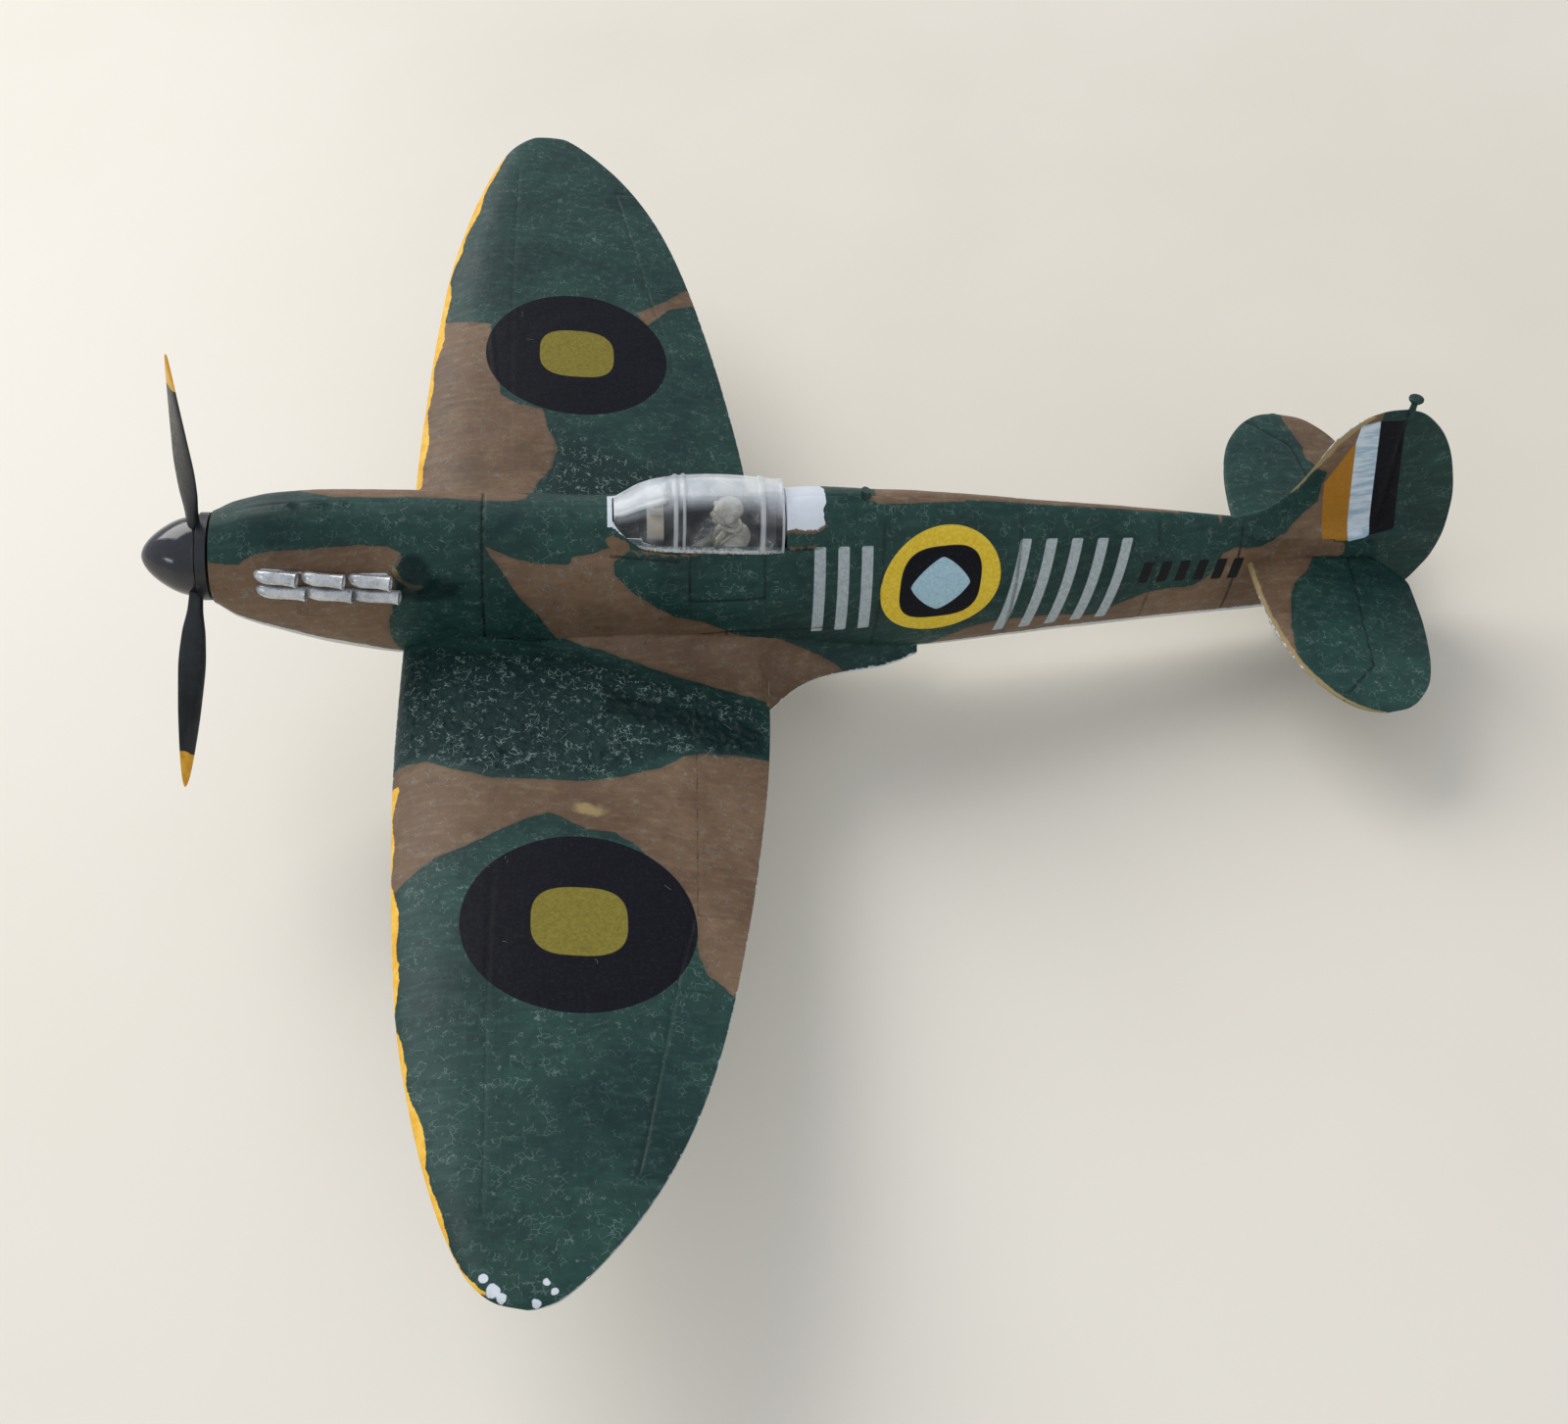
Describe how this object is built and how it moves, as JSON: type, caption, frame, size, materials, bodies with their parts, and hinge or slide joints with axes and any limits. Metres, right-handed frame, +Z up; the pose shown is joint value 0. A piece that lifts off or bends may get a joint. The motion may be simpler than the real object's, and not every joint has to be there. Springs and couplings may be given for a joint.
{
  "type": "propeller plane model",
  "caption": "Scale display model of a single-seat low-wing propeller fighter with elliptical wings, clear canopy, seated figure, turning propeller and three wheels",
  "frame": {"origin": "on the ground plane, in the symmetry plane, under the middle of the overall length", "axes": "+Z up, nose towards -X, starboard wing towards +Y; the model stands nose-up on its three wheels"},
  "size_m": [0.1262, 0.156, 0.0524],
  "materials": {
    "camouflage": "brush-painted matt dark green and earth brown",
    "underside": "pale bare plastic",
    "clear_plastic": "clear moulded plastic",
    "cockpit": "dark blue-grey paint",
    "figure_grey": "grey-beige bare plastic",
    "silver_paint": "brushed silver paint",
    "spinner_black": "glossy gunmetal black paint",
    "propeller_black": "satin black paint with yellow tips",
    "tyre_black": "matt black painted plastic",
    "bare_plastic": "bare pale grey plastic"
  },
  "bodies": {
    "airframe": {"fuselage_half_port": "camouflage", "fuselage_half_starboard": "camouflage", "wing_upper_port": "camouflage", "wing_upper_starboard": "camouflage", "tailplane_port": "camouflage", "tailplane_starboard": "camouflage", "wing_lower": "underside", "radiator_housing": "underside", "oil_cooler_housing": "underside", "carburettor_intake": "underside", "leg_cover_port": "underside", "leg_cover_starboard": "underside", "undercarriage_leg_port": "silver_paint", "undercarriage_leg_starboard": "silver_paint", "tail_wheel": "tyre_black", "canopy": "clear_plastic", "cockpit_floor": "cockpit", "seat_frame": "cockpit", "seat": "cockpit", "instrument_panel": "cockpit", "gunsight": "figure_grey", "control_column": "cockpit", "pilot_figure": "figure_grey", "exhaust_stack_port": "silver_paint", "exhaust_stack_starboard": "silver_paint", "radiator_matrix": "silver_paint", "pitot_tube": "underside", "aerial_mast_stub": "bare_plastic"},
    "propeller_unit": {"propeller": "propeller_black", "spinner": "spinner_black", "propeller_shaft": "bare_plastic", "shaft_collar": "bare_plastic"},
    "wheel_port": {"wheel_port": "tyre_black"},
    "wheel_starboard": {"wheel_starboard": "tyre_black"}
  },
  "joints": [
    {"name": "propeller_spin", "type": "hinge", "parent": "airframe", "child": "propeller_unit", "pos_m": [-0.0571, 0, 0.03014], "axis": [0.9791, 0, -0.2034], "continuous": true},
    {"name": "wheel_port_spin", "type": "hinge", "parent": "airframe", "child": "wheel_port", "pos_m": [-0.03915, -0.0121, 0.0042], "axis": [0, 1, 0], "continuous": true},
    {"name": "wheel_starboard_spin", "type": "hinge", "parent": "airframe", "child": "wheel_starboard", "pos_m": [-0.03915, 0.0121, 0.0042], "axis": [0, 1, 0], "continuous": true}
  ]
}
